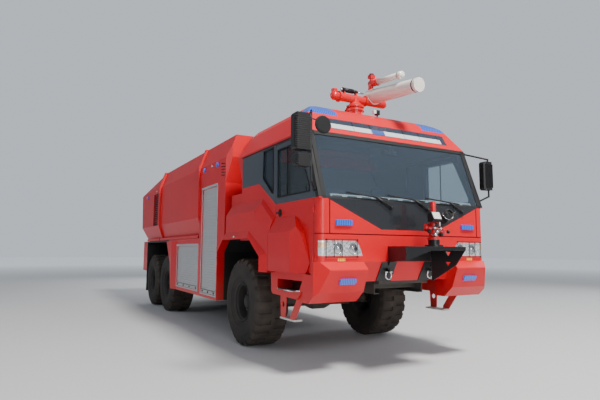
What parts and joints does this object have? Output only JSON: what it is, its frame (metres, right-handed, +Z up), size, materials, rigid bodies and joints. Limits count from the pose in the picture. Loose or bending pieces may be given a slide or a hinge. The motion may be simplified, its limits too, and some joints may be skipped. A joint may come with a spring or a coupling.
{
  "type": "airport fire truck",
  "caption": "Three-axle airport crash tender with a forward cab, roof monitor, bumper turret, shuttered lockers and a faceted water-tank body.",
  "frame": {"origin": "on the ground under the middle of the overall box", "axes": "+X forward, +Y to the vehicle's left, +Z up"},
  "size_m": [11.38, 3.585, 4.5125],
  "materials": {
    "red_paint": "gloss",
    "black_paint": "satin",
    "frame_paint": "satin",
    "tyre": "matt",
    "glass": "clear",
    "black_gloss": "gloss",
    "black_plastic": "matt",
    "shutter": "satin",
    "bright": "satin",
    "monitor_white": "gloss",
    "blue_lens": "gloss",
    "red_lens": "gloss",
    "clear_lens": "gloss",
    "seat_fabric": "matt",
    "steel": "matt"
  },
  "bodies": {
    "truck": {"chassis_frame": "frame_paint", "springs": "steel", "drive_shafts": "steel", "front_axle": "steel", "rear_axles": "steel", "engine_block": "steel", "cab_tub": "red_paint", "cab_front": "red_paint", "cab_side_left": "red_paint", "cab_side_right": "red_paint", "cab_roof": "red_paint", "nose_panel": "black_gloss", "cab_glass": "glass", "dashboard": "black_plastic", "seats": "seat_fabric", "wipers": "black_plastic", "mirrors": "black_plastic", "light_bar": "clear_lens", "blue_lamps": "blue_lens", "headlamps": "clear_lens", "bumper": "red_paint", "turret_tray": "black_paint", "shackles": "bright", "steps": "red_paint", "monitor_base": "red_paint", "body_column": "red_paint", "body_tank": "red_paint", "body_rear": "red_paint", "shutters": "shutter", "mudguards": "black_plastic", "rear_ladder": "shutter", "tail_lamps": "red_lens"},
    "knuckle_left": {"knuckle_left": "steel"},
    "knuckle_right": {"knuckle_right": "steel"},
    "track_rod": {"track_rod": "steel"},
    "door_left": {"door_left": "red_paint", "door_glass_left": "glass"},
    "door_right": {"door_right": "red_paint", "door_glass_right": "glass"},
    "monitor_arm": {"monitor_arm": "red_paint"},
    "monitor_barrel": {"monitor_barrel": "monitor_white"},
    "turret_head": {"turret_head": "red_paint"},
    "turret_nozzle": {"turret_nozzle": "black_plastic"},
    "tank_hatch": {"tank_hatch": "shutter"},
    "wheel_front_left": {"wheel_front_left": "tyre"},
    "wheel_front_right": {"wheel_front_right": "tyre"},
    "wheel_mid_left": {"wheel_mid_left": "tyre"},
    "wheel_mid_right": {"wheel_mid_right": "tyre"},
    "wheel_rear_left": {"wheel_rear_left": "tyre"},
    "wheel_rear_right": {"wheel_rear_right": "tyre"}
  },
  "joints": [
    {"name": "steer_left", "type": "hinge", "parent": "truck", "child": "knuckle_left", "pos_m": [2.74, 1, 0.7], "axis": [0, 0, 1], "range_deg": [-28, 28]},
    {"name": "steer_right", "type": "hinge", "parent": "truck", "child": "knuckle_right", "pos_m": [2.74, -1, 0.7], "axis": [0, 0, 1], "range_deg": [-28, 28]},
    {"name": "track_rod_pivot", "type": "hinge", "parent": "knuckle_left", "child": "track_rod", "pos_m": [2.44, 0.855, 0.57], "axis": [0, 0, 1], "range_deg": [-32.75, 32.75]},
    {"name": "spin_front_left", "type": "hinge", "parent": "knuckle_left", "child": "wheel_front_left", "pos_m": [2.74, 1.19, 0.7], "axis": [0, 1, 0], "continuous": true},
    {"name": "spin_front_right", "type": "hinge", "parent": "knuckle_right", "child": "wheel_front_right", "pos_m": [2.74, -1.19, 0.7], "axis": [0, 1, 0], "continuous": true},
    {"name": "spin_mid_left", "type": "hinge", "parent": "truck", "child": "wheel_mid_left", "pos_m": [-2.31, 1.19, 0.7], "axis": [0, 1, 0], "continuous": true},
    {"name": "spin_mid_right", "type": "hinge", "parent": "truck", "child": "wheel_mid_right", "pos_m": [-2.31, -1.19, 0.7], "axis": [0, 1, 0], "continuous": true},
    {"name": "spin_rear_left", "type": "hinge", "parent": "truck", "child": "wheel_rear_left", "pos_m": [-3.91, 1.19, 0.7], "axis": [0, 1, 0], "continuous": true},
    {"name": "spin_rear_right", "type": "hinge", "parent": "truck", "child": "wheel_rear_right", "pos_m": [-3.91, -1.19, 0.7], "axis": [0, 1, 0], "continuous": true},
    {"name": "door_left_hinge", "type": "hinge", "parent": "truck", "child": "door_left", "pos_m": [5.063, 1.459, 1.7], "axis": [0, 0, -1], "range_deg": [0, 72]},
    {"name": "door_right_hinge", "type": "hinge", "parent": "truck", "child": "door_right", "pos_m": [5.063, -1.459, 1.7], "axis": [0, 0, 1], "range_deg": [0, 72]},
    {"name": "monitor_turn", "type": "hinge", "parent": "truck", "child": "monitor_arm", "pos_m": [3.87, 0.04, 3.88], "axis": [0, 0, 1], "range_deg": [-135, 135]},
    {"name": "monitor_lift", "type": "hinge", "parent": "monitor_arm", "child": "monitor_barrel", "pos_m": [3.87, 0.4, 4.03], "axis": [0, -1, 0], "range_deg": [-8, 76]},
    {"name": "turret_turn", "type": "hinge", "parent": "truck", "child": "turret_head", "pos_m": [5.48, 0.15, 1.69], "axis": [0, 0, 1], "range_deg": [-80, 80]},
    {"name": "turret_lift", "type": "hinge", "parent": "turret_head", "child": "turret_nozzle", "pos_m": [5.48, 0.282, 1.92], "axis": [0, -1, 0], "range_deg": [-50, 40]},
    {"name": "tank_hatch_hinge", "type": "hinge", "parent": "truck", "child": "tank_hatch", "pos_m": [-1.07, 0, 3.495], "axis": [0, -1, 0], "range_deg": [0, 95]}
  ],
  "couplings": [
    {"joint": "steer_right", "follows": "steer_left", "ratio": 1},
    {"joint": "track_rod_pivot", "follows": "steer_left", "ratio": -1.1696}
  ]
}
